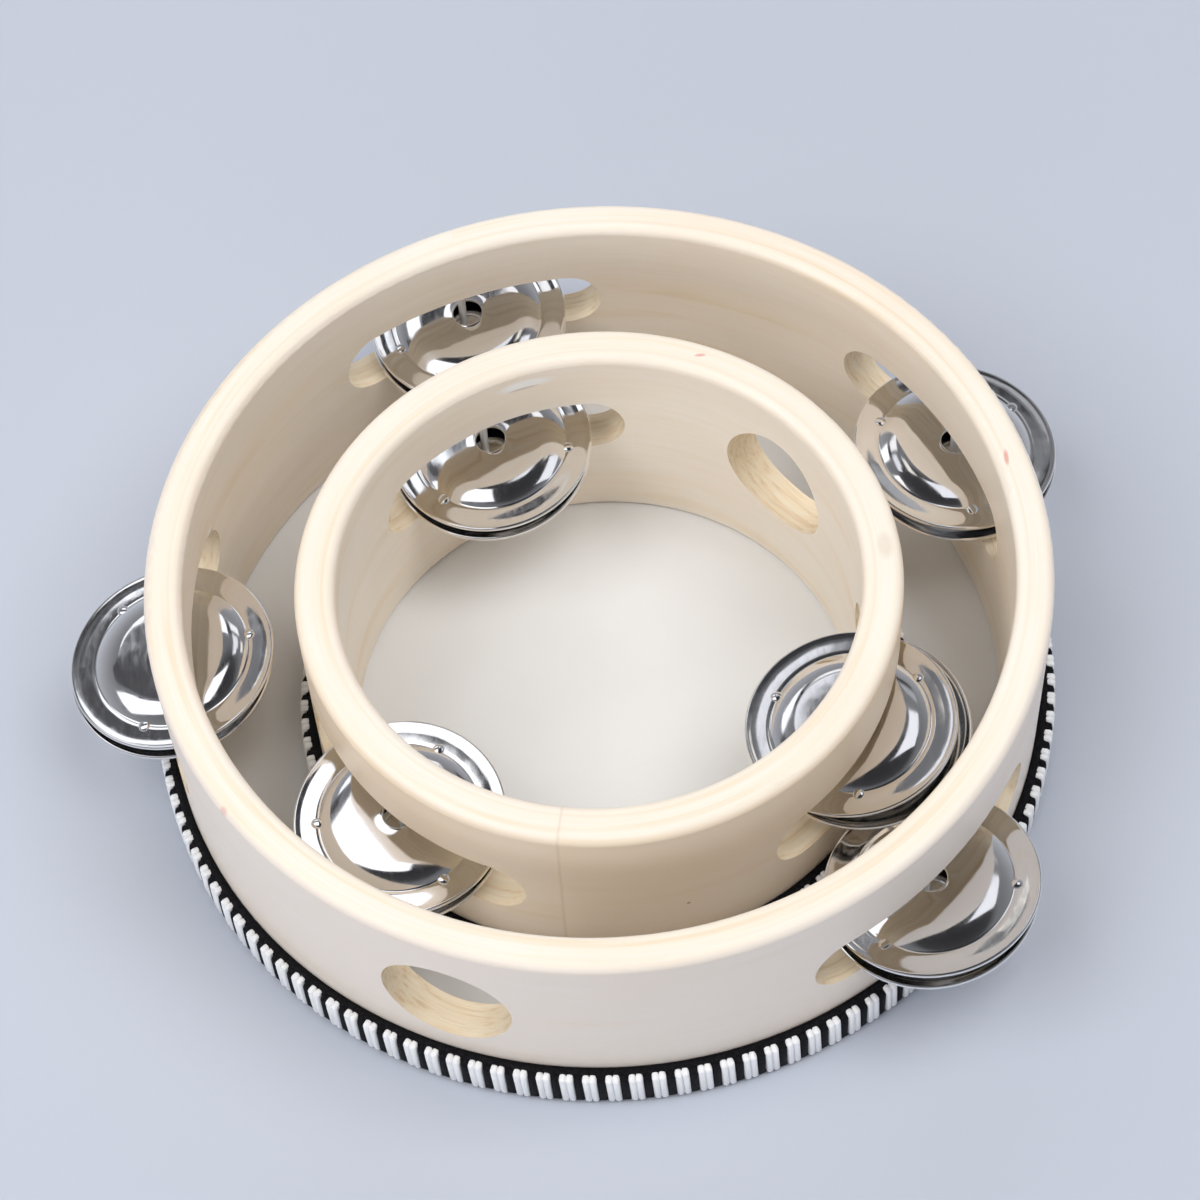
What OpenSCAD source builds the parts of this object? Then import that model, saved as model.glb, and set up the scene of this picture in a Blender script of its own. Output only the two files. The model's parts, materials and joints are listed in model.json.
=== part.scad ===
// Two round wooden tambourines, the small one standing inside the large one, open sides up.
// Each is a bent wood ring with a drum head over its lower edge, a woven trim round the
// head's edge, and pairs of dished steel jingles on nails that cross slots in the wall.
// Origin: on the large ring's axis, at the underside of its drum head. +Z is up.

/* [Large tambourine] */
// Outside diameter of the large wood ring
large_d = 152.4; // [150:0.2:160]
// Thickness of the large ring's wall
large_wall = 6.35; // [5.5:0.05:7]
// Depth of the large tambourine, from its drum head to its open rim
large_depth = 44; // [40:0.5:52]
// Height of the middle of the large ring's slots above its drum head
large_slot_mid = 24.2; // [23:0.1:27]
// Diameter of the large ring's thumb hole
large_thumb_d = 22.5; // [18:0.5:25]

/* [Small tambourine] */
// Outside diameter of the small wood ring
small_d = 101.6; // [98:0.2:102]
// Thickness of the small ring's wall
small_wall = 6.9; // [6:0.05:7.5]
// Depth of the small tambourine, from its drum head to its open rim
small_depth = 45; // [41:0.5:52]
// Height of the middle of the small ring's slots above its drum head
small_slot_mid = 25.2; // [24:0.1:28]
// Diameter of the small ring's thumb hole
small_thumb_d = 22; // [18:0.5:24]
// How far the small tambourine stands towards the front, off the large ring's axis
nest_offset = 3.8; // [3:0.1:4.2]

/* [Slots and ring edges] */
// Length of a slot between the centres of its round ends, along the middle of the wall
slot_run = 38.5; // [37:0.5:43]
// Height of a slot
slot_h = 13; // [12.6:0.1:13.8]
// Radius of the rings' upper edges
rim_round = 1.6; // [1:0.1:2.4]
// Radius of the rings' lower edges, under the drum head
foot_round = 0.8; // [0.4:0.1:1.2]

/* [Drum heads and trim] */
// Thickness of the drum head
head_t = 0.35; // [0.25:0.05:0.6]
// How far the head is lapped up the outside of the ring
head_lap = 6.8; // [4:0.1:7.2]
// Width of the woven trim
trim_w = 8.2; // [7.6:0.1:10]
// Thickness of the trim's raised middle
trim_t = 2.3; // [1.6:0.05:2.6]
// Thickness of the trim's corded edges
trim_cord_d = 1.6; // [1.2:0.05:1.7]
// Height of the trim's lower edge above the underside of the head
trim_lift = 0.2; // [0.1:0.05:0.6]

/* [Jingles] */
// Diameter of a jingle
jingle_d = 36; // [34:0.2:36.4]
// Thickness of the jingle's sheet
sheet_t = 0.45; // [0.35:0.05:0.6]
// Diameter of the crease between the flat rim and the dome
crease_d = 27; // [25:0.2:29]
// Diameter of the flat middle of the dome
flat_d = 17.6; // [15:0.2:19]
// Height of the dome above the rim
dome_rise = 1.4; // [1:0.1:1.7]
// Diameter of the rolled edge
roll_d = 0.8; // [0.7:0.05:1]
// Diameter of the hole in the middle
jingle_hole_d = 5.2; // [4.4:0.1:5.4]

/* [Nails] */
// Diameter of a nail
nail_d = 1.4; // [1.2:0.1:1.6]
// Diameter of a nail's head
nail_head_d = 3.2; // [2.6:0.1:3.6]
// Thickness of a nail's head
nail_head_t = 0.6; // [0.4:0.1:0.9]
// Length of nail in the wood above the slot
nail_bite = 8; // [6:0.5:9]

/* [Clearances] */
// Gap between pieces that are glued, tacked or driven together
seat_gap = 0.1; // [0.05:0.01:0.15]
// Gap between a nail and the wood round it
nail_gap = 0.03; // [0.02:0.01:0.05]
// Gap between pieces that rest on each other and can part
rest_gap = 0.15; // [0.1:0.01:0.25]

/* [Hidden] */
$fn = 96;
OVERRUN = 1;
// How far a slot's round ends reach past its floor and its top, as the cutter leaves them
end_step = 0.05;
LARGE = 0;
SMALL = 1;

// Azimuths of the thumb holes and the jingle slots, seen from above, from +X towards +Y
LARGE_THUMB = -112.5;
SMALL_THUMB = 42;

// Azimuths at which the ends of each ring's bent strip meet, away from the slots and the hole
LARGE_JOINT = -85;
SMALL_JOINT = -100.5;

// The pairs of jingles, in the order of the tables below
RIGHT = 0;
BACK = 1;
LEFT = 2;
FRONT = 3;
SMALL_BACK = 4;
SMALL_LEFT = 5;
SMALL_RIGHT = 6;
LARGE_PAIRS = [RIGHT, BACK, LEFT, FRONT];
SMALL_PAIRS = [SMALL_BACK, SMALL_LEFT, SMALL_RIGHT];

// The ring that holds each pair, and the azimuth of the pair's nail and slot
HOLDERS = [LARGE, LARGE, LARGE, LARGE, SMALL, SMALL, SMALL];
AZIMUTHS = [27.5, 107.3, 181.5, -46.2, 113.3, -138, -28];

// How the jingles lean, outwards and sideways, in degrees
LOWER_LEANS = [[2.1, -4.8], [-7.3, 4.8], [7.3, 4.5], [-6.4, -4.9], [-3.5, 5.8], [5.2, 3], [-4, -7.2]];
UPPER_LEANS = [[3.9, -1.3], [-4.8, 4], [7.2, 1.2], [-9.6, -1.4], [-0.8, 4.7], [3.5, 1.2], [-7, -2.8]];

// The side towards which each jingle hangs off its nail, in degrees, and the share of its play
// that it takes up
LOWER_SIDES = [-118, 200, -36, 0, 200, -60, 60];
UPPER_SIDES = [-118, 200, -36, 0, 200, -60, 170];
lower_play_shares = [1, 1, 1, 0.8, 1, 0.3, 1];
upper_play_shares = [1, 0.9, 1, 0.6, 1, 0.3, 1];

// How far each slot lies above the ring's usual height for slots, and how far its pair hangs
// above the slot's floor, as shares of the slot's height
slot_rise_shares = [0, 0, 0, -0.07, 0.03, -0.04, -0.1];
hang_height_shares = [0.09, 0, 0.03, 0.015, 0, 0, 0.25];

// Sizes of the large and the small ring, in that order
RADII = [large_d / 2, small_d / 2];
WALLS = [large_wall, small_wall];
DEPTHS = [large_depth, small_depth];
SLOT_MIDS = [large_slot_mid, small_slot_mid];
THUMB_RADII = [large_thumb_d / 2, small_thumb_d / 2];
THUMB_AZIMUTHS = [LARGE_THUMB, SMALL_THUMB];
JOINT_AZIMUTHS = [LARGE_JOINT, SMALL_JOINT];

wood_bottom = head_t + seat_gap;
nest_z = head_t + rest_gap;
jingle_r = jingle_d / 2;
hole_r = jingle_hole_d / 2;
flat_r = flat_d / 2;
crease_r = crease_d / 2;
roll_r = roll_d / 2;
nail_r = nail_d / 2;
dome_run = crease_r - flat_r;
dome_r = (dome_run * dome_run + dome_rise * dome_rise) / (2 * dome_rise);

// The radius at the middle of a ring's wall
function mid_radius(ring) = RADII[ring] - WALLS[ring] / 2;

// Half of a slot's turn about the ring's axis, between the centres of its round ends
function slot_half_turn(ring) = slot_run / mid_radius(ring) * 90 / PI;

// The height of the middle of a pair's slot, and of its floor
function slot_mid(pair) = SLOT_MIDS[HOLDERS[pair]] + slot_rise_shares[pair] * slot_h;
function slot_floor(pair) = slot_mid(pair) - slot_h / 2;

// How far the wall curves in from a straight line, across the flat middle of a jingle
function wall_sag(ring) = flat_r * flat_r / (2 * mid_radius(ring));

// How far a leaning jingle's hole is raised by the edge of the wall that it rests on
function seat_rise(ring, lean) =
    (WALLS[ring] / 2 + wall_sag(ring)) * sin(abs(lean[0])) + flat_r * sin(abs(lean[1]));

// Height of the lower jingle's hole above the ring's drum head
function lower_z(pair) = slot_floor(pair) + seat_rise(HOLDERS[pair], LOWER_LEANS[pair])
    + sheet_t / 2 + rest_gap + hang_height_shares[pair] * slot_h;

// Height from the lower jingle's hole to the upper one's: two domes, and rims that touch on one side
function pair_rise(pair) = 2 * dome_rise + roll_d + rest_gap
    + jingle_r * sin(norm(UPPER_LEANS[pair] - LOWER_LEANS[pair]));

// How far a jingle can hang off its nail's axis, until the edge of its hole meets the nail
function play(lean) = hole_r * cos(norm(lean)) - sheet_t * sin(norm(lean)) - nail_r - rest_gap;

// A band of wood, turned about the ring's axis, with its edges rounded
module ring_section(ring) {
    inner = RADII[ring] - WALLS[ring];
    bottom = wood_bottom;
    top = DEPTHS[ring];
    foot_w = WALLS[ring] - 2 * foot_round;
    rim_w = WALLS[ring] - 2 * rim_round;
    translate([inner, bottom + foot_round])
        square([WALLS[ring], top - bottom - foot_round - rim_round]);
    translate([inner + foot_round, bottom])
        square([foot_w, 2 * foot_round]);
    translate([inner + rim_round, top - 2 * rim_round])
        square([rim_w, 2 * rim_round]);
    for (x = [inner + foot_round, inner + foot_round + foot_w])
        translate([x, bottom + foot_round]) circle(r = foot_round);
    for (x = [inner + rim_round, inner + rim_round + rim_w])
        translate([x, top - rim_round]) circle(r = rim_round);
}

// A slot with round ends, cut towards the ring's axis
module slot_cut(pair) {
    ring = HOLDERS[pair];
    half = slot_half_turn(ring);
    inner = RADII[ring] - WALLS[ring] - OVERRUN;
    reach = WALLS[ring] + 2 * OVERRUN;
    rotate([0, 0, AZIMUTHS[pair] - half])
        rotate_extrude(angle = 2 * half)
            translate([inner, slot_floor(pair) + end_step]) square([reach, slot_h - 2 * end_step]);
    for (side = [-1, 1])
        radial_cut(ring, AZIMUTHS[pair] + side * half, slot_mid(pair), slot_h / 2, -90 * side);
}

// A round hole through the wall, with the start of its circle turned by some degrees from the bottom
module radial_cut(ring, azimuth, z, r, start) {
    inner = RADII[ring] * cos(asin(r / RADII[ring])) - WALLS[ring] - 2 * OVERRUN;
    rotate([0, 0, azimuth])
        translate([inner, 0, z])
            rotate([0, 90, 0])
                rotate([0, 0, start])
                    cylinder(r = r, h = RADII[ring] - inner + OVERRUN);
}

// Length of a nail, from the ring's lower edge through the slot into the wood above it
function nail_length(pair) = slot_floor(pair) + slot_h + nail_bite - wood_bottom;

// The hole that a nail is driven into, from the ring's lower edge
module nail_cut(pair) {
    rotate([0, 0, AZIMUTHS[pair]])
        translate([mid_radius(HOLDERS[pair]), 0, wood_bottom - OVERRUN]) {
            cylinder(r = nail_r + nail_gap, h = nail_length(pair) + seat_gap + OVERRUN);
            cylinder(r = nail_head_d / 2 + seat_gap, h = nail_head_t + seat_gap + OVERRUN);
        }
}

module wood_ring(ring, pairs) {
    color("BlanchedAlmond")
        difference() {
            rotate([0, 0, JOINT_AZIMUTHS[ring] + 180])
                rotate_extrude() ring_section(ring);
            for (pair = pairs) {
                slot_cut(pair);
                nail_cut(pair);
            }
            radial_cut(ring, THUMB_AZIMUTHS[ring], SLOT_MIDS[ring], THUMB_RADII[ring], 0);
        }
}

// The drum head: a thin disc, lapped up the outside of the ring
module drum_head(ring) {
    lap_inner = RADII[ring] + seat_gap;
    bend_r = foot_round + seat_gap + head_t;
    color("WhiteSmoke")
        rotate_extrude() {
            square([lap_inner + head_t - bend_r, head_t]);
            translate([lap_inner, bend_r]) square([head_t, head_lap - bend_r]);
            intersection() {
                translate([lap_inner + head_t - bend_r, bend_r])
                    difference() {
                        circle(r = bend_r);
                        circle(r = bend_r - head_t);
                    }
                translate([lap_inner + head_t - bend_r, 0]) square([bend_r, bend_r]);
            }
        }
}

// The woven trim: a thick band with a cord along each edge, set in against the wood above the lap
module woven_trim(ring) {
    inner = RADII[ring] + head_t + 2 * seat_gap;
    cord_r = trim_cord_d / 2;
    bottom = trim_lift;
    top = trim_lift + trim_w;
    color("DimGray")
        rotate_extrude() {
            translate([inner, bottom + cord_r]) square([trim_t, trim_w - trim_cord_d]);
            translate([inner + cord_r, bottom + cord_r]) circle(r = cord_r);
            translate([inner + cord_r, top - cord_r]) circle(r = cord_r);
            translate([RADII[ring] + seat_gap, head_lap + seat_gap])
                square([trim_t, top - cord_r - head_lap - seat_gap]);
        }
}

module nail(pair) {
    color("LightSteelBlue")
        rotate([0, 0, AZIMUTHS[pair]])
            translate([mid_radius(HOLDERS[pair]), 0, wood_bottom]) {
                cylinder(r = nail_r, h = nail_length(pair));
                cylinder(r = nail_head_d / 2, h = nail_head_t);
            }
}

// Half of a jingle's section, with the origin at the middle of its hole and its dome upwards
module jingle_section() {
    half_t = sheet_t / 2;
    translate([hole_r, -half_t]) square([flat_r - hole_r, sheet_t]);
    intersection() {
        translate([flat_r, -dome_r])
            difference() {
                circle(r = dome_r + half_t);
                circle(r = dome_r - half_t);
            }
        translate([flat_r, -dome_rise - half_t]) square([jingle_r - flat_r, dome_rise + sheet_t]);
    }
    translate([crease_r - half_t, -dome_rise - half_t])
        square([jingle_r - roll_r - crease_r + half_t, sheet_t]);
    translate([jingle_r - roll_r, -dome_rise]) circle(r = roll_r);
}

// A jingle on its nail: the height of its hole, its lean, the side on which it hangs, the share
// of its play that it takes up, and whether its dome is up
module hung_jingle(pair, z, lean, side, share, dome_up) {
    off = play(lean) * share;
    color("Gainsboro")
        rotate([0, 0, AZIMUTHS[pair]])
            translate([mid_radius(HOLDERS[pair]) + off * cos(side), off * sin(side), z])
                rotate([-lean[1], lean[0], 0])
                    mirror([0, 0, dome_up ? 0 : 1])
                        rotate_extrude() jingle_section();
}

module lower_jingle(pair) {
    hung_jingle(pair, lower_z(pair), LOWER_LEANS[pair], LOWER_SIDES[pair],
        lower_play_shares[pair], false);
}

module upper_jingle(pair) {
    hung_jingle(pair, lower_z(pair) + pair_rise(pair), UPPER_LEANS[pair], UPPER_SIDES[pair],
        upper_play_shares[pair], true);
}

// Puts a piece of the small tambourine in its place inside the large one
module nested() {
    translate([0, -nest_offset, nest_z]) children();
}

wood_ring(LARGE, LARGE_PAIRS);  // large_frame
drum_head(LARGE);  // large_head
woven_trim(LARGE);  // large_trim
nail(RIGHT);  // large_nail_right
nail(BACK);  // large_nail_back
nail(LEFT);  // large_nail_left
nail(FRONT);  // large_nail_front
lower_jingle(RIGHT);  // large_lower_jingle_right
upper_jingle(RIGHT);  // large_upper_jingle_right
lower_jingle(BACK);  // large_lower_jingle_back
upper_jingle(BACK);  // large_upper_jingle_back
lower_jingle(LEFT);  // large_lower_jingle_left
upper_jingle(LEFT);  // large_upper_jingle_left
lower_jingle(FRONT);  // large_lower_jingle_front
upper_jingle(FRONT);  // large_upper_jingle_front
nested() wood_ring(SMALL, SMALL_PAIRS);  // small_frame
nested() drum_head(SMALL);  // small_head
nested() woven_trim(SMALL);  // small_trim
nested() nail(SMALL_BACK);  // small_nail_back
nested() nail(SMALL_LEFT);  // small_nail_left
nested() nail(SMALL_RIGHT);  // small_nail_right
nested() lower_jingle(SMALL_BACK);  // small_lower_jingle_back
nested() upper_jingle(SMALL_BACK);  // small_upper_jingle_back
nested() lower_jingle(SMALL_LEFT);  // small_lower_jingle_left
nested() upper_jingle(SMALL_LEFT);  // small_upper_jingle_left
nested() lower_jingle(SMALL_RIGHT);  // small_lower_jingle_right
nested() upper_jingle(SMALL_RIGHT);  // small_upper_jingle_right
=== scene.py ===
"""Two wooden tambourines, the small one standing inside the large one, on a pale studio floor."""

import json
import math

import bmesh
import bpy
import numpy as np
from mathutils import Matrix, Vector


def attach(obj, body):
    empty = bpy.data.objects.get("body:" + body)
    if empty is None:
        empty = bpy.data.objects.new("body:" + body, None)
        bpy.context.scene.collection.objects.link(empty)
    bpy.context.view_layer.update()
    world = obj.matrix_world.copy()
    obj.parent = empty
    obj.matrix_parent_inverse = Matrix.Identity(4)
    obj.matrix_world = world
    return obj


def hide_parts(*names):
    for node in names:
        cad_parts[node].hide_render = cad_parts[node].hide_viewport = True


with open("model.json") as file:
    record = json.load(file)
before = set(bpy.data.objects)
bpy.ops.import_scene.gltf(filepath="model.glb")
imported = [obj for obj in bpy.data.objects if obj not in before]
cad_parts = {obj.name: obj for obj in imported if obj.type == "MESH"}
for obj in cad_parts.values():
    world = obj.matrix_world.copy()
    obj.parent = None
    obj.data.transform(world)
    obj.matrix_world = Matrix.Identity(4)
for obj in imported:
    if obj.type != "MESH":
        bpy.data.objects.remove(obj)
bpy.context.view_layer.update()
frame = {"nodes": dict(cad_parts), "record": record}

MM = 0.001
UP = Vector((0, 0, 1))


# ---------------------------------------------------------------- sizes, in millimetres

NEST_OFFSET = 3.8
SMALL_LIFTED = 0.5
# Each ring's wall tone colours its outer wall: the large ring's is its own pinkish wood, the small
# ring's is warmer, painted bounce light and shade from the wood round it
RINGS = {
    "large": {"radius": 76.2, "wall": 6.35, "centre": Vector((0, 0, 0)),
              "joint": 107.3, "seam": 0.0, "wall_tone_and_painted_bounce": (0.90, 0.80, 0.715)},
    "small": {"radius": 50.8, "wall": 6.9, "centre": Vector((0, -NEST_OFFSET, SMALL_LIFTED)),
              "joint": -100.5, "seam": 0.22, "wall_tone_and_painted_bounce": (0.92, 0.775, 0.60)},
}
# How far the head's lap stands out from the wood, and how far the trim reaches in over its edge
LAP = 0.55
TUCK = 0.45
TRIM = {"low": 0.2, "width": 8.2, "thick": 2.3, "core": 1.35, "pitch": 3.84}
JINGLE = {"radius": 18.0, "sheet": 0.45, "crease": 13.5, "flat": 8.8, "rise": 1.4, "roll": 0.4,
          "hole": 2.6}
FLAT_STEPS = (4.5, 6.5, 8.0)
FLANGE_STEPS = (14.4, 15.6, 16.6)
PIP = {"radius": 1.15, "squash": (1.0, 0.9, 0.35), "out": 0.25, "up": 0.18}
JINGLE_FACETS = 144
BAND_FACETS = 180
# How near two points lie that are welded into one, in a jingle and in a band
JINGLE_WELD = 1e-6
BAND_WELD = 1e-5

# Each thread and rib of the trims: depth, breadth, how much shorter it is than the band is wide,
# how far its middle lies behind the face, and how far above the middle of the band
WHITE_THREADS = [(1.7, 1.24, 0.3, 0.76, 0.05), (1.2, 1.16, 2.4, 0.45, -0.1)]
BLACK_RIBS = [(1.7, 1.66, 0.7, 0.92, -0.05), (1.2, 1.3, 2.6, 0.62, 0.0)]
# Size of each bead of the cords along the trims' edges
CORDS = {"upper": (1.0, 1.9, 0.8), "inner": (1.1, 1.9, 0.8), "lower": (1.5, 1.9, 0.9)}
# How far the two threads of a white bar lie from its middle, and their lean in radians
THREAD_STEP = 0.58
THREAD_LEAN = 0.05
ROUNDING_SHARE = 0.42


# ---------------------------------------------------------------- making pieces

def finished(name, bm, body, finish):
    """Makes a smooth piece of a bmesh in metres, and gives it its body and finish."""
    mesh = bpy.data.meshes.new(name)
    bm.to_mesh(mesh)
    bm.free()
    for face in mesh.polygons:
        face.use_smooth = True
    piece = bpy.data.objects.new(name, mesh)
    bpy.context.scene.collection.objects.link(piece)
    mesh.materials.append(finish)
    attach(piece, body)
    return piece


def spun(bm, outline, steps, weld):
    """Turns a closed outline of (radius, height) points round the Z axis, and welds the mesh."""
    verts = [bm.verts.new((r, 0, z)) for r, z in outline]
    edges = [bm.edges.new((a, b)) for a, b in zip(verts, verts[1:] + verts[:1])]
    bmesh.ops.spin(bm, geom=verts + edges, cent=(0, 0, 0), axis=UP, angle=math.tau,
                   steps=steps, use_merge=True)
    bmesh.ops.remove_doubles(bm, verts=bm.verts, dist=weld)
    bmesh.ops.recalc_face_normals(bm, faces=bm.faces)


def arc(centre, radius, start, end, count):
    """Points of an arc in the plane of (radius, height), with its angles in degrees."""
    turns = [math.radians(a) for a in np.linspace(start, end, count)]
    return [(centre[0] + radius * math.cos(a), centre[1] + radius * math.sin(a)) for a in turns]


# ---------------------------------------------------------------- jingles

def jingle_outline():
    """The closed section of a pressed jingle, dome upwards, with the middle of its hole at 0."""
    half = JINGLE["sheet"] / 2
    flat, crease, rise = JINGLE["flat"], JINGLE["crease"], JINGLE["rise"]
    run = crease - flat
    bend = (run * run + rise * rise) / (2 * rise)
    turn = math.degrees(math.asin(run / bend))
    roll = JINGLE["roll"]
    rim = JINGLE["radius"] - roll
    hole = JINGLE["hole"]
    top = [(hole + 0.10, half + 0.16), (hole + 0.34, half + 0.10), (hole + 0.6, half)]
    top += [(r, half) for r in FLAT_STEPS]
    top += arc((flat, -bend), bend + half, 90, 90 - turn, 14)
    top += [(crease + 0.16, -rise + half - 0.02)]
    top += [(r, -rise + half) for r in FLANGE_STEPS]
    top += arc((rim, -rise), roll, 118, -90, 9)
    bottom = arc((rim, -rise), roll, -118, -150, 2)
    bottom += [(r, -rise - half) for r in reversed(FLANGE_STEPS)]
    bottom += [(crease + 0.05, -rise - half)]
    bottom += arc((flat, -bend), bend - half, 90 - turn, 90, 14)
    bottom += [(r, -half) for r in reversed(FLAT_STEPS)]
    bottom += [(hole + 0.2, -half), (hole, -half + 0.12), (hole, half)]
    return top + bottom


def pip(bm, angle):
    """A small raised mark on the crease, where the die held the sheet."""
    ball = bmesh.ops.create_uvsphere(bm, u_segments=24, v_segments=14, radius=PIP["radius"])
    made = ball["verts"]
    bmesh.ops.scale(bm, vec=PIP["squash"], verts=made)
    place = (JINGLE["crease"] + PIP["out"], 0, -JINGLE["rise"] + PIP["up"])
    bmesh.ops.translate(bm, vec=place, verts=made)
    bmesh.ops.rotate(bm, cent=(0, 0, 0), matrix=Matrix.Rotation(angle, 3, "Z"), verts=made)


def lie_of(node):
    """Where a CAD jingle lies: the middle of its hole, and the direction of its dome side."""
    mesh = frame["nodes"][node].data
    mesh.calc_loop_triangles()
    co = np.array([v.co for v in mesh.vertices], float)
    tri = co[np.array([t.vertices[:] for t in mesh.loop_triangles])]
    area = np.linalg.norm(np.cross(tri[:, 1] - tri[:, 0], tri[:, 2] - tri[:, 0]), axis=1)
    mid = tri.mean(axis=1)
    middle = (mid * area[:, None]).sum(0) / area.sum()
    spread = ((mid - middle) * area[:, None]).T @ (mid - middle)
    axis = np.linalg.eigh(spread)[1][:, 0]
    # the dome's side is further from the middle of the surface, because the flange holds more of it
    along = (co - middle) @ axis
    if abs(along.max()) < abs(along.min()):
        axis, along = -axis, -along
    axis = Vector(axis)
    hole = Vector(middle) + axis * (along.max() - JINGLE["sheet"] / 2 * MM)
    return hole, axis


def jingle(node, body, pip_turn, finish):
    """A jingle in the place of its CAD node, its pips turned about its axis by pip_turn degrees."""
    bm = bmesh.new()
    spun(bm, jingle_outline(), JINGLE_FACETS, JINGLE_WELD)
    for third in range(3):
        pip(bm, math.tau * third / 3)
    spin = Matrix.Rotation(math.radians(pip_turn), 3, "Z")
    bmesh.ops.rotate(bm, cent=(0, 0, 0), matrix=spin, verts=bm.verts)
    bmesh.ops.scale(bm, vec=(MM, MM, MM), verts=bm.verts)
    hole, axis = lie_of(node)
    turn = UP.rotation_difference(axis).to_matrix()
    bmesh.ops.rotate(bm, cent=(0, 0, 0), matrix=turn, verts=bm.verts)
    bmesh.ops.translate(bm, vec=hole, verts=bm.verts)
    piece = finished("pressed_" + node, bm, body, finish)
    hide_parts(node)


# ---------------------------------------------------------------- woven trims

def ring_count(ring):
    """How many white bars go round a ring."""
    return round(math.tau * (RINGS[ring]["radius"] + LAP + TRIM["thick"]) / TRIM["pitch"])


def lobe(bm, size, middle, turn, lean=0.0):
    """A soft bar: a box with well rounded edges, leaned about X and turned round the ring."""
    made = bmesh.ops.create_cube(bm, size=1.0)["verts"]
    bmesh.ops.scale(bm, vec=size, verts=made)
    edges = list({e for v in made for e in v.link_edges})
    rounding = min(size[0], size[1]) * ROUNDING_SHARE
    cut = bmesh.ops.bevel(bm, geom=edges, offset=rounding, offset_type="OFFSET", segments=2,
                          profile=0.5, affect="EDGES", clamp_overlap=True, material=-1)
    parts = list({v for f in cut["faces"] for v in f.verts})
    bmesh.ops.rotate(bm, cent=(0, 0, 0), matrix=Matrix.Rotation(lean, 3, "X"), verts=parts)
    bmesh.ops.translate(bm, vec=middle, verts=parts)
    bmesh.ops.rotate(bm, cent=(0, 0, 0), matrix=Matrix.Rotation(turn, 3, "Z"), verts=parts)


def round_copies(bm, count):
    """Repeats what the bmesh holds round the Z axis."""
    geom = bm.verts[:] + bm.edges[:] + bm.faces[:]
    bmesh.ops.spin(bm, geom=geom, cent=(0, 0, 0), axis=UP, angle=math.tau * (count - 1) / count,
                   steps=count - 1, use_duplicate=True)


def to_place(bm, ring):
    """Moves what stands round the Z axis to its ring's own axis, and takes it to metres."""
    bmesh.ops.translate(bm, vec=RINGS[ring]["centre"], verts=bm.verts)
    bmesh.ops.scale(bm, vec=(MM, MM, MM), verts=bm.verts)


def standing_thread(bm, thread, ring, turn, lean=0.0):
    """A thread or rib that stands up the face of the trim."""
    depth, breadth, shorter, behind, above = thread
    face = RINGS[ring]["radius"] + LAP + TRIM["thick"]
    middle = TRIM["low"] + TRIM["width"] / 2
    size = (depth, breadth, TRIM["width"] - shorter)
    lobe(bm, size, (face - behind, 0, middle + above), turn, lean)


def white_bars(ring, finish):
    """The white threads, two to a bar, standing proud of the black weave."""
    bm = bmesh.new()
    face = RINGS[ring]["radius"] + LAP + TRIM["thick"]
    for side in (-1, 1):
        for thread in WHITE_THREADS:
            standing_thread(bm, thread, ring, side * THREAD_STEP / face, THREAD_LEAN)
    round_copies(bm, ring_count(ring))
    to_place(bm, ring)
    finished(ring + "_trim_bars", bm, ring + "_tambourine", finish)


def black_band(ring, finish):
    """The black part of the trim: a core, ribs between the white bars and corded edges."""
    bm = bmesh.new()
    radius = RINGS[ring]["radius"] + LAP
    face = radius + TRIM["thick"]
    low = TRIM["low"]
    high = low + TRIM["width"]
    count = ring_count(ring)
    half_pitch = math.pi / count
    for rib in BLACK_RIBS:
        standing_thread(bm, rib, ring, half_pitch)
    for turn in (0, half_pitch):
        lobe(bm, CORDS["upper"], (face - 1.8, 0, high - 0.6), turn)
        lobe(bm, CORDS["inner"], (radius + 0.5, 0, high - 0.5), turn + half_pitch / 2)
        lobe(bm, CORDS["lower"], (face - 1.0, 0, low + 0.5), turn)
    round_copies(bm, count)
    outer = radius + TRIM["core"]
    tuck = radius - TUCK
    core = [(radius, low + 0.1), (outer, low + 0.1), (outer, high - 0.5), (tuck, high - 0.3),
            (tuck, high - 1.2), (radius, high - 1.2)]
    spun(bm, core, BAND_FACETS, BAND_WELD)
    to_place(bm, ring)
    piece = finished(ring + "_trim_weave", bm, ring + "_tambourine", finish)
    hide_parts(ring + "_trim")


# ---------------------------------------------------------------- finishes

def new_finish(name):
    """A node material with its Principled shader, and a helper that adds nodes."""
    material = bpy.data.materials.new(name)
    material.use_nodes = True
    tree = material.node_tree
    shader = tree.nodes["Principled BSDF"]

    def add(kind, inputs=None, **settings):
        node = tree.nodes.new(kind)
        for key, value in settings.items():
            setattr(node, key, value)
        for key, value in (inputs or {}).items():
            if isinstance(value, bpy.types.NodeSocket):
                tree.links.new(value, node.inputs[key])
            else:
                node.inputs[key].default_value = value
        return node
    return material, tree, shader, add


def set_stops(node, stops):
    """Gives a ramp node its (position, colour) stops."""
    elements = node.color_ramp.elements
    while len(elements) < len(stops):
        elements.new(0.5)
    for element, (position, colour) in zip(elements, stops):
        element.position = position
        element.color = (*colour, 1)


def ramp(add, factor, stops):
    """A colour ramp through (position, colour) stops."""
    node = add("ShaderNodeValToRGB", {"Fac": factor})
    set_stops(node, stops)
    return node.outputs["Color"]


def paint_over(add, factor, under, over, **settings):
    """Mixes one colour over another."""
    mixed = add("ShaderNodeMix", {"Factor": factor, "A": under, "B": over},
                data_type="RGBA", **settings)
    return mixed.outputs["Result"]


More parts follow.
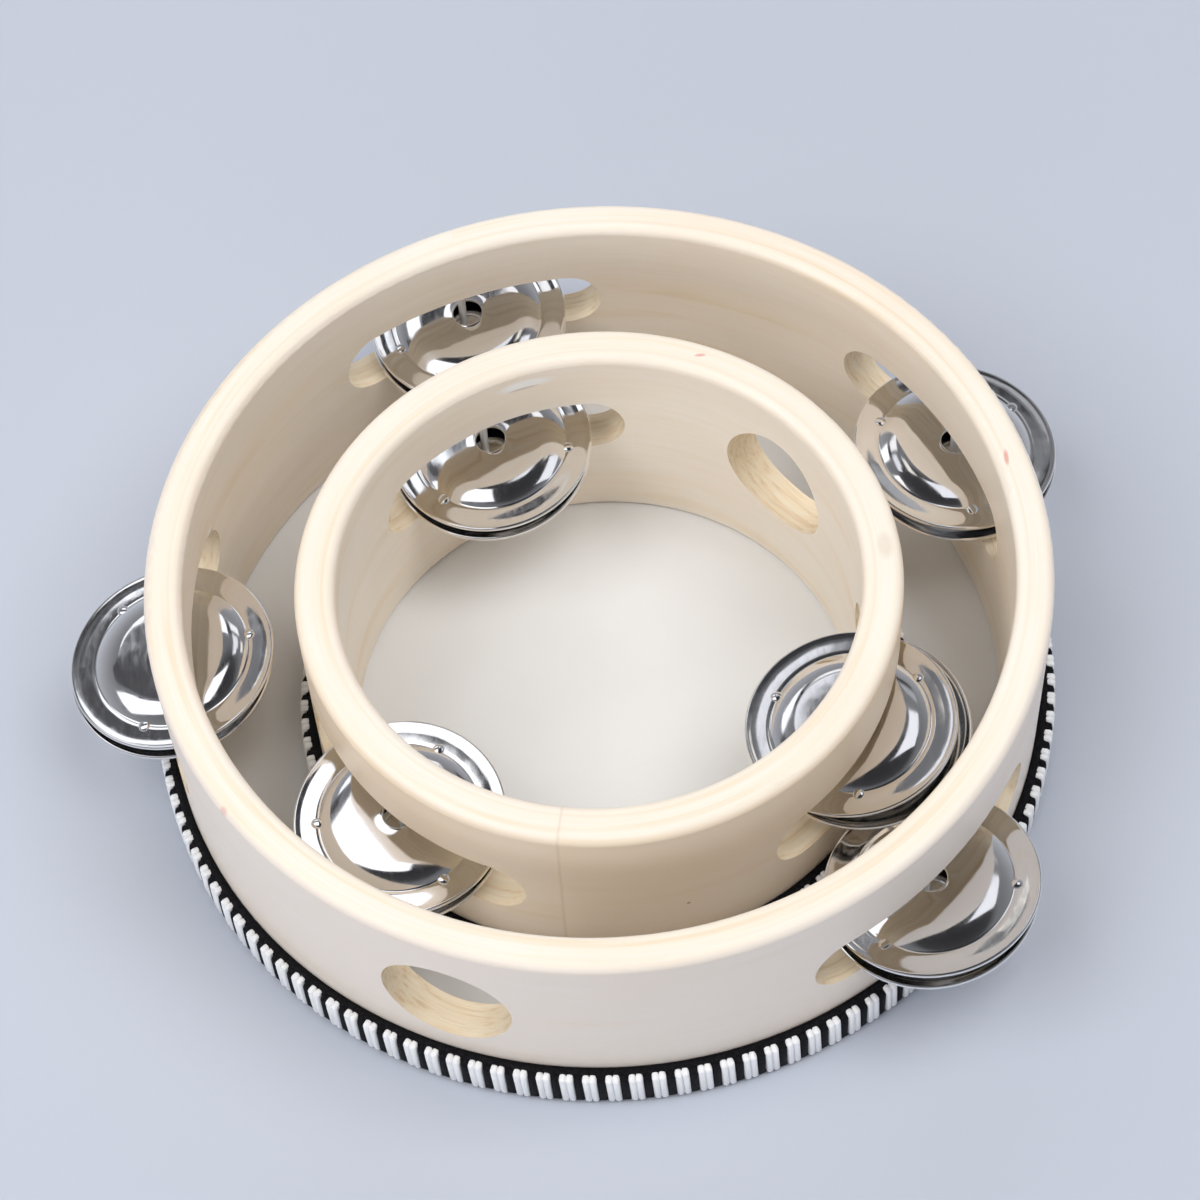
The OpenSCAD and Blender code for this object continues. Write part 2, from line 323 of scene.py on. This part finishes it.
# Small marks on the wood: place in millimetres, size along X, Y and Z, colour and strength
PINK = (0.72, 0.30, 0.25, 1)
BROWN = (0.38, 0.24, 0.12, 1)
WHITE = (0.97, 0.95, 0.93, 1)
MARKS = {
    "large": [((70.4, 15.1, 44.0), (0.5, 1.9, 1.0), PINK, 0.75),
              ((-62.7, -43.3, 43.5), (1.1, 1.1, 1.2), PINK, 0.4),
              ((-67.0, 19.6, 30.3), (1.4, 1.6, 0.7), WHITE, 0.75),
              ((-67.2, 20.4, 29.2), (1.3, 1.3, 0.4), BROWN, 0.5)],
    "small": [((20.1, 39.6, 45.5), (1.2, 0.4, 1.0), PINK, 0.7),
              ((-16.8, -51.8, 22.4), (0.55, 0.55, 0.55), BROWN, 0.9),
              ((11.4, -53.3, 20.4), (0.45, 0.45, 0.45), BROWN, 0.75),
              ((-10.9, 38.7, 41.3), (6.8, 2.6, 1.5), WHITE, 1.0),
              ((-10.9, 38.7, 40.3), (4.0, 1.4, 0.35), BROWN, 0.4),
              ((48.0, -2.0, 45.5), (1.6, 3.2, 1.0), BROWN, 0.18)],
}

# Tones across each pattern of the wood, as (position, colour)
STREAKS = [(0.28, (0.87, 0.74, 0.56)), (0.42, (0.91, 0.82, 0.69)),
           (0.60, (0.92, 0.845, 0.74)), (0.80, (0.91, 0.81, 0.68))]
FIBRES = [(0.30, (0.96, 0.94, 0.915)), (0.62, (1.0, 1.0, 1.0))]
BLOTCHES = [(0.40, (1.0, 1.0, 1.0)), (0.72, (1.0, 0.95, 0.92))]
CUT_LAYERS = [(0.30, (0.76, 0.58, 0.37)), (0.47, (0.88, 0.74, 0.54)), (0.66, (0.91, 0.80, 0.62))]
GLUE_TONE = (0.78, 0.62, 0.41, 1)
SEAM_TONE = (0.45, 0.33, 0.20, 1)
# Half the width of each line, in metres
GLUE_LINE = 0.00045
SEAM_LINE = 0.0004
# Heights in metres between which the glue lines come in, and above which no face is a cut face
GLUE_FROM, GLUE_FULL = 0.0415, 0.0432
CUT_FULL, CUT_END = 0.037, 0.038


def mark(add, coords, tone, spot, size, colour, strength):
    """A soft-edged stain round a place on the wood."""
    moved = add("ShaderNodeVectorMath", {0: coords.outputs["Object"], 1: tuple(Vector(spot) * MM)},
                operation="SUBTRACT")
    sized = add("ShaderNodeVectorMath", {0: moved.outputs["Vector"], 1: tuple(Vector(size) * MM)},
                operation="DIVIDE")
    far = add("ShaderNodeVectorMath", {0: sized.outputs["Vector"]}, operation="LENGTH")
    near = add("ShaderNodeMapRange", {"Value": far.outputs["Value"], "From Min": 0.5,
                                      "From Max": 1.0, "To Min": strength, "To Max": 0.0})
    return paint_over(add, near.outputs[0], tone, colour)


def flat_direction(add, centred):
    """The direction away from the ring's axis, at each point."""
    level = add("ShaderNodeVectorMath", {0: centred.outputs["Vector"], 1: (1, 1, 0)},
                operation="MULTIPLY")
    away = add("ShaderNodeVectorMath", {0: level.outputs["Vector"]}, operation="NORMALIZE")
    return away.outputs["Vector"]


def bent_wood(ring):
    """Pale bent wood under clear lacquer: streaks run round the ring, and cut faces are rougher."""
    place = RINGS[ring]
    material, tree, shader, add = new_finish(ring + "_bent_wood")
    coords = add("ShaderNodeTexCoord")
    centred = add("ShaderNodeMapping", {"Vector": coords.outputs["Object"],
                                        "Location": tuple(-place["centre"] * MM)})
    about = add("ShaderNodeMapping", {"Vector": centred.outputs["Vector"],
                                      "Rotation": (0, 0, math.radians(180 - place["joint"]))})
    xyz = add("ShaderNodeSeparateXYZ", {"Vector": about.outputs["Vector"]})
    angle = add("ShaderNodeMath", {0: xyz.outputs["Y"], 1: xyz.outputs["X"]},
                operation="ARCTAN2")
    flat = add("ShaderNodeCombineXYZ", {"X": xyz.outputs["X"], "Y": xyz.outputs["Y"]})
    radius = add("ShaderNodeVectorMath", {0: flat.outputs["Vector"]}, operation="LENGTH")
    along = add("ShaderNodeMath", {0: angle.outputs[0], 1: place["radius"] * MM},
                operation="MULTIPLY")
    grain = add("ShaderNodeCombineXYZ", {"X": along.outputs[0], "Y": radius.outputs["Value"],
                                         "Z": xyz.outputs["Z"]})

    def streaks(scale, detail, seed):
        moved = add("ShaderNodeMapping", {"Vector": grain.outputs["Vector"], "Scale": scale,
                                          "Location": (seed, seed * 0.7, seed * 1.3)})
        noise = add("ShaderNodeTexNoise", {"Vector": moved.outputs["Vector"], "Scale": 1.0,
                                           "Detail": detail, "Roughness": 0.55})
        return noise.outputs["Fac"]

    broad = streaks((16, 620, 190), 3.0, 1.7)
    fine = streaks((55, 2600, 1500), 4.0, 4.1)
    blotch = streaks((28, 60, 50), 2.0, 7.9)
    base = ramp(add, broad, STREAKS)
    fibre = ramp(add, fine, FIBRES)
    mixed = paint_over(add, 0.5, base, fibre, blend_type="MULTIPLY")
    pinkish = ramp(add, blotch, BLOTCHES)
    plain = paint_over(add, 0.8, mixed, pinkish, blend_type="MULTIPLY")

    # thin glue lines between the plies, which show on the rim
    ply = place["wall"] * MM / 3
    glue = add("ShaderNodeMath", {0: radius.outputs["Value"], 1: ply}, operation="PINGPONG")
    line = add("ShaderNodeMapRange", {"Value": glue.outputs[0], "From Min": 0.0,
                                      "From Max": GLUE_LINE, "To Min": 1.0, "To Max": 0.0})
    level = add("ShaderNodeSeparateXYZ", {"Vector": centred.outputs["Vector"]})
    on_rim = add("ShaderNodeMapRange", {"Value": level.outputs["Z"],
                                        "From Min": GLUE_FROM, "From Max": GLUE_FULL})
    glued = add("ShaderNodeMath", {0: line.outputs[0], 1: on_rim.outputs[0]}, operation="MULTIPLY")
    glued = add("ShaderNodeMath", {0: glued.outputs[0], 1: 0.28}, operation="MULTIPLY")
    tone = paint_over(add, glued.outputs[0], plain, GLUE_TONE)

    # the outer wall has a tone of its own, apart from the rim's; on the small ring that tone is
    # warmer, painted warm bounce light and shade from the wood round it
    away = flat_direction(add, centred)
    outwards = add("ShaderNodeVectorMath", {0: coords.outputs["Normal"], 1: away},
                   operation="DOT_PRODUCT")
    outer = add("ShaderNodeMapRange", {"Value": outwards.outputs["Value"], "From Min": 0.5,
                                       "From Max": 0.9, "To Min": 0.0, "To Max": 0.6})
    tone = paint_over(add, outer.outputs[0], tone, (*place["wall_tone_and_painted_bounce"], 1))

    # the scarf seam, and a few small marks from handling
    seam = add("ShaderNodeMath", {0: along.outputs[0]}, operation="ABSOLUTE")
    half_way = place["radius"] * MM * math.pi
    seam = add("ShaderNodeMath", {0: half_way, 1: seam.outputs[0]}, operation="SUBTRACT")
    seam = add("ShaderNodeMapRange", {"Value": seam.outputs[0], "From Min": 0.0,
                                      "From Max": SEAM_LINE, "To Min": place["seam"],
                                      "To Max": 0.0})
    tone = paint_over(add, seam.outputs[0], tone, SEAM_TONE)
    for spot, size, colour, strength in MARKS[ring]:
        tone = mark(add, coords, tone, spot, size, colour, strength)

    # a cut face looks neither to the axis nor away from it, and lies below the rim
    facing = add("ShaderNodeMath", {0: outwards.outputs["Value"]}, operation="ABSOLUTE")
    sideways = add("ShaderNodeMapRange", {"Value": facing.outputs[0], "From Min": 0.35,
                                          "From Max": 0.75, "To Min": 1.0, "To Max": 0.0})
    below = add("ShaderNodeMapRange", {"Value": level.outputs["Z"], "From Min": CUT_FULL,
                                       "From Max": CUT_END, "To Min": 1.0, "To Max": 0.0})
    cut = add("ShaderNodeMath", {0: sideways.outputs[0], 1: below.outputs[0]}, operation="MULTIPLY")
    layers = streaks((30, 1300, 500), 5.0, 2.6)
    colour = paint_over(add, cut.outputs[0], tone, ramp(add, layers, CUT_LAYERS))
    tree.links.new(colour, shader.inputs["Base Color"])
    rough = add("ShaderNodeMapRange", {"Value": cut.outputs[0], "To Min": 0.42, "To Max": 0.75})
    tree.links.new(rough.outputs[0], shader.inputs["Roughness"])
    relief = add("ShaderNodeMath", {0: fine, 1: layers}, operation="ADD")
    depth = add("ShaderNodeMapRange", {"Value": cut.outputs[0], "To Min": 0.12, "To Max": 0.6})
    bump = add("ShaderNodeBump", {"Height": relief.outputs[0], "Distance": 0.0002,
                                  "Strength": depth.outputs[0]})
    tree.links.new(bump.outputs["Normal"], shader.inputs["Normal"])
    shader.inputs["Coat Weight"].default_value = 0.1
    shader.inputs["Coat Roughness"].default_value = 0.35
    return material


def plated_steel():
    """Bright plated sheet with a faint waviness and fine scratches."""
    material, tree, shader, add = new_finish("plated_steel")
    coords = add("ShaderNodeTexCoord")
    shader.inputs["Base Color"].default_value = (0.92, 0.91, 0.90, 1)
    shader.inputs["Metallic"].default_value = 1.0
    scratch_map = add("ShaderNodeMapping", {"Vector": coords.outputs["Object"],
                                            "Scale": (900, 260, 900), "Rotation": (0.3, 0.2, 0.9)})
    scratch = add("ShaderNodeTexNoise", {"Vector": scratch_map.outputs["Vector"], "Scale": 1.0,
                                         "Detail": 6.0, "Roughness": 0.7})
    rough = add("ShaderNodeMapRange", {"Value": scratch.outputs["Fac"], "From Min": 0.35,
                                       "From Max": 0.75, "To Min": 0.06, "To Max": 0.16})
    tree.links.new(rough.outputs[0], shader.inputs["Roughness"])
    wave = add("ShaderNodeTexNoise", {"Vector": coords.outputs["Object"], "Scale": 130.0,
                                      "Detail": 1.5})
    bump = add("ShaderNodeBump", {"Height": wave.outputs["Fac"], "Distance": 0.0004,
                                  "Strength": 0.25})
    tree.links.new(bump.outputs["Normal"], shader.inputs["Normal"])
    return material


def wire_painted_bright():
    """Nail wire with a painted highlight: near-white and hardly metallic, so it shows the bright
    lines a mirror-bright nail would catch.
    """
    material, tree, shader, add = new_finish("wire_painted_bright")
    coords = add("ShaderNodeTexCoord")
    # painted highlight: the near-white colour and low metallic stand in for the glints of bright
    # steel
    shader.inputs["Base Color"].default_value = (0.97, 0.97, 0.96, 1)
    shader.inputs["Metallic"].default_value = 0.1
    lines = add("ShaderNodeMapping", {"Vector": coords.outputs["Object"],
                                      "Scale": (3000, 3000, 200)})
    noise = add("ShaderNodeTexNoise", {"Vector": lines.outputs["Vector"], "Scale": 1.0,
                                       "Detail": 3.0})
    rough = add("ShaderNodeMapRange", {"Value": noise.outputs["Fac"], "To Min": 0.12,
                                       "To Max": 0.32})
    tree.links.new(rough.outputs[0], shader.inputs["Roughness"])
    return material


def head_film(ring):
    """Smooth white film with a faint mottling."""
    material, tree, shader, add = new_finish(ring + "_head_film")
    coords = add("ShaderNodeTexCoord")
    cloud = add("ShaderNodeTexNoise", {"Vector": coords.outputs["Object"], "Scale": 26.0,
                                       "Detail": 3.0})
    colour = ramp(add, cloud.outputs["Fac"], [(0.3, (0.78, 0.78, 0.775)),
                                              (0.7, (0.83, 0.83, 0.825))])
    tree.links.new(colour, shader.inputs["Base Color"])
    shader.inputs["Roughness"].default_value = 0.42
    skin = add("ShaderNodeTexNoise", {"Vector": coords.outputs["Object"], "Scale": 900.0,
                                      "Detail": 2.0})
    bump = add("ShaderNodeBump", {"Height": skin.outputs["Fac"], "Distance": 0.00005,
                                  "Strength": 0.2})
    tree.links.new(bump.outputs["Normal"], shader.inputs["Normal"])
    return material


def black_yarn():
    """Black woven yarn: matt, with fine threads that catch a little light."""
    material, tree, shader, add = new_finish("black_yarn")
    coords = add("ShaderNodeTexCoord")
    threads = add("ShaderNodeTexNoise", {"Vector": coords.outputs["Object"], "Scale": 2600.0,
                                         "Detail": 3.0})
    colour = ramp(add, threads.outputs["Fac"], [(0.35, (0.004, 0.004, 0.005)),
                                                (0.75, (0.014, 0.014, 0.017))])
    tree.links.new(colour, shader.inputs["Base Color"])
    shader.inputs["Roughness"].default_value = 0.8
    shader.inputs["Specular IOR Level"].default_value = 0.2
    bump = add("ShaderNodeBump", {"Height": threads.outputs["Fac"], "Distance": 0.0003,
                                  "Strength": 0.6})
    tree.links.new(bump.outputs["Normal"], shader.inputs["Normal"])
    return material


def satin_thread():
    """White satin thread laid up and down, with the sheen of filament yarn."""
    material, tree, shader, add = new_finish("satin_thread")
    coords = add("ShaderNodeTexCoord")
    lines = add("ShaderNodeMapping", {"Vector": coords.outputs["Object"],
                                      "Scale": (3600, 3600, 160)})
    threads = add("ShaderNodeTexNoise", {"Vector": lines.outputs["Vector"], "Scale": 1.0,
                                         "Detail": 3.0})
    colour = ramp(add, threads.outputs["Fac"], [(0.3, (0.88, 0.885, 0.895)),
                                                (0.62, (0.97, 0.97, 0.975))])
    tree.links.new(colour, shader.inputs["Base Color"])
    shader.inputs["Roughness"].default_value = 0.38
    shader.inputs["Sheen Weight"].default_value = 0.25
    shader.inputs["Sheen Roughness"].default_value = 0.35
    bump = add("ShaderNodeBump", {"Height": threads.outputs["Fac"], "Distance": 0.0002,
                                  "Strength": 0.35})
    tree.links.new(bump.outputs["Normal"], shader.inputs["Normal"])
    return material


# ---------------------------------------------------------------- the object

def paint(node, material):
    """Gives a CAD node its finish."""
    mesh = frame["nodes"][node].data
    mesh.materials.clear()
    mesh.materials.append(material)


# How far the pips of each jingle are turned about its axis, in degrees
PIP_TURNS = {
    "large_lower_jingle_right": 15, "large_upper_jingle_right": -84,
    "large_lower_jingle_back": 70, "large_upper_jingle_back": -156,
    "large_lower_jingle_left": 40, "large_upper_jingle_left": 10,
    "large_lower_jingle_front": 95, "large_upper_jingle_front": -10,
    "small_lower_jingle_back": 20, "small_upper_jingle_back": -10,
    "small_lower_jingle_left": 100, "small_upper_jingle_left": 60,
    "small_lower_jingle_right": 30, "small_upper_jingle_right": 30,
}
wire, steel, yarn, thread = wire_painted_bright(), plated_steel(), black_yarn(), satin_thread()
for ring in RINGS:
    paint(ring + "_frame", bent_wood(ring))
    paint(ring + "_head", head_film(ring))
    black_band(ring, yarn)
    white_bars(ring, thread)
for body, nodes in frame["record"]["behaviour"]["bodies"].items():
    for node in nodes:
        if "jingle" in node:
            jingle(node, body, PIP_TURNS[node], steel)
        elif "nail" in node:
            paint(node, wire)


# ---------------------------------------------------------------- camera, floor and light

# Degrees and millimetres: the distance is from the point on the floor that the camera looks at
CAMERA = {"elevation": 57.668, "roll": -3.719, "distance": 602.7, "target": (0.04, 19.63),
          "lens": 99.57, "film": 36}
FLOOR_REACH = 6.0
FLOOR_COLOUR = (0.525, 0.558, 0.63, 1)
FLOOR_GLOW = (0.53, 0.56, 0.63, 1)
CARD_HEIGHT = 220

# Tones of the studio from the horizon, at 0, to overhead, at 1
SKY = [(0.0, (0.50, 0.53, 0.60)), (0.35, (0.36, 0.37, 0.41)), (0.70, (0.20, 0.205, 0.22)),
       (0.86, (0.15, 0.155, 0.17)), (0.92, (0.045, 0.046, 0.05)), (1.0, (0.03, 0.03, 0.034))]

# Name, azimuth, elevation, distance and size in metres, and power
LAMPS = [
    ("left_softbox", 205, 58, 1.3, (0.9, 0.9), 9.0),
    ("right_softbox", 350, 68, 1.3, (0.7, 0.8), 7.9),
    ("back_softbox", 95, 35, 1.5, (1.2, 0.6), 4.2),
    ("front_softbox", 248, 20, 1.5, (1.3, 0.5), 3.4),
]

# Name, low and high corner in millimetres, and glow of each level card over the object
CARDS = [
    ("left_reflector", (-300, -50), (-48, 62), (1.3, 1.32, 1.4)),
    ("right_reflector", (64, 0), (140, 95), (0.9, 0.92, 1.0)),
    ("far_left_reflector", (-190, 131), (-61, 210), (1.2, 1.25, 1.35)),
    ("far_reflector", (-35, 157), (24, 200), (1.0, 1.0, 1.05)),
    ("middle_reflector", (-32, 86), (-6, 104), (0.85, 0.87, 0.95)),
    ("beyond_middle_reflector", (-32, 104), (5, 142), (0.85, 0.87, 0.95)),
    ("front_reflector", (30, 94), (50, 138), (0.95, 0.92, 0.88)),
    ("near_right_reflector", (85, 138), (160, 172), (0.40, 0.41, 0.44)),
    ("dark_left_card", (-250, 88), (-150, 129), (0.07, 0.07, 0.078)),
    ("dark_far_card", (-60, 138), (-36, 185), (0.03, 0.03, 0.034)),
    ("dark_right_card", (88, 188), (165, 225), (0.04, 0.04, 0.045)),
]


def make_camera():
    """The photo's own view: from the front and above, with a slight roll."""
    tilt, roll = math.radians(CAMERA["elevation"]), math.radians(CAMERA["roll"])
    back = Vector((0, -math.cos(tilt), math.sin(tilt)))
    side = Vector((1, 0, 0))
    up = Vector((0, math.sin(tilt), math.cos(tilt)))
    across = math.cos(roll) * side + math.sin(roll) * up
    upright = -math.sin(roll) * side + math.cos(roll) * up
    place = Vector((*CAMERA["target"], 0)) * MM + back * CAMERA["distance"] * MM
    data = bpy.data.cameras.new("studio_camera")
    data.lens = CAMERA["lens"]
    data.sensor_width = CAMERA["film"]
    data.clip_start = 0.01
    data.clip_end = 50
    camera = bpy.data.objects.new("studio_camera", data)
    camera.matrix_world = Matrix(((across.x, upright.x, back.x, place.x),
                                  (across.y, upright.y, back.y, place.y),
                                  (across.z, upright.z, back.z, place.z),
                                  (0, 0, 0, 1)))
    bpy.context.scene.collection.objects.link(camera)
    bpy.context.scene.camera = camera


def make_floor():
    """A wide sheet of pale blue-grey paper under the object."""
    bm = bmesh.new()
    bmesh.ops.create_grid(bm, x_segments=1, y_segments=1, size=FLOOR_REACH)
    mesh = bpy.data.meshes.new("studio_floor")
    bm.to_mesh(mesh)
    bm.free()
    floor = bpy.data.objects.new("studio_floor", mesh)
    bpy.context.scene.collection.objects.link(floor)
    material, tree, shader, add = new_finish("floor_paper")
    shader.inputs["Base Color"].default_value = FLOOR_COLOUR
    shader.inputs["Roughness"].default_value = 0.9
    # the lamps don't reach the far floor, so it glows a little there and stays pale in low views
    coords = add("ShaderNodeTexCoord")
    away = add("ShaderNodeVectorMath", {0: coords.outputs["Object"]}, operation="LENGTH")
    glow = add("ShaderNodeMapRange", {"Value": away.outputs["Value"], "From Min": 0.45,
                                      "From Max": 2.4, "To Min": 0.0, "To Max": 0.85})
    shader.inputs["Emission Color"].default_value = FLOOR_GLOW
    tree.links.new(glow.outputs[0], shader.inputs["Emission Strength"])
    mesh.materials.append(material)


def softbox(name, azimuth, elevation, distance, size, power):
    """A flat lamp that shines on the object from a direction. The metal doesn't mirror it."""
    a, e = math.radians(azimuth), math.radians(elevation)
    way = Vector((math.cos(a) * math.cos(e), math.sin(a) * math.cos(e), math.sin(e)))
    data = bpy.data.lights.new(name, "AREA")
    data.shape = "RECTANGLE"
    data.size, data.size_y = size
    data.energy = power
    light = bpy.data.objects.new(name, data)
    light.location = way * distance
    light.rotation_mode = "QUATERNION"
    light.rotation_quaternion = way.to_track_quat("Z", "Y")
    light.visible_glossy = False
    bpy.context.scene.collection.objects.link(light)


def reflector(name, low, high, glow):
    """A level card over the object that only the bright metal mirrors."""
    bm = bmesh.new()
    corners = [(low[0], low[1]), (high[0], low[1]), (high[0], high[1]), (low[0], high[1])]
    bm.faces.new([bm.verts.new((x * MM, y * MM, CARD_HEIGHT * MM)) for x, y in corners])
    mesh = bpy.data.meshes.new(name)
    bm.to_mesh(mesh)
    bm.free()
    card = bpy.data.objects.new(name, mesh)
    bpy.context.scene.collection.objects.link(card)
    material = bpy.data.materials.new(name)
    material.use_nodes = True
    tree = material.node_tree
    tree.nodes.remove(tree.nodes["Principled BSDF"])
    light = tree.nodes.new("ShaderNodeEmission")
    light.inputs["Color"].default_value = (*glow, 1)
    light.inputs["Strength"].default_value = 1.0
    tree.links.new(light.outputs["Emission"], tree.nodes["Material Output"].inputs["Surface"])
    mesh.materials.append(material)
    card.visible_camera = False
    card.visible_diffuse = False
    card.visible_shadow = False


def make_world():
    """Pale near the horizon, grey above it and dark overhead, as round a camera on a stand."""
    world = bpy.data.worlds.new("studio")
    world.use_nodes = True
    bpy.context.scene.world = world
    tree = world.node_tree
    background = tree.nodes["Background"]
    coords = tree.nodes.new("ShaderNodeTexCoord")
    split = tree.nodes.new("ShaderNodeSeparateXYZ")
    tree.links.new(coords.outputs["Generated"], split.inputs["Vector"])
    tones = tree.nodes.new("ShaderNodeValToRGB")
    tree.links.new(split.outputs["Z"], tones.inputs["Fac"])
    set_stops(tones, SKY)
    tree.links.new(tones.outputs["Color"], background.inputs["Color"])
    background.inputs["Strength"].default_value = 1.0


make_camera()
make_floor()
make_world()
for lamp in LAMPS:
    softbox(*lamp)
for card in CARDS:
    reflector(*card)
bpy.context.scene.view_settings.view_transform = "Standard"
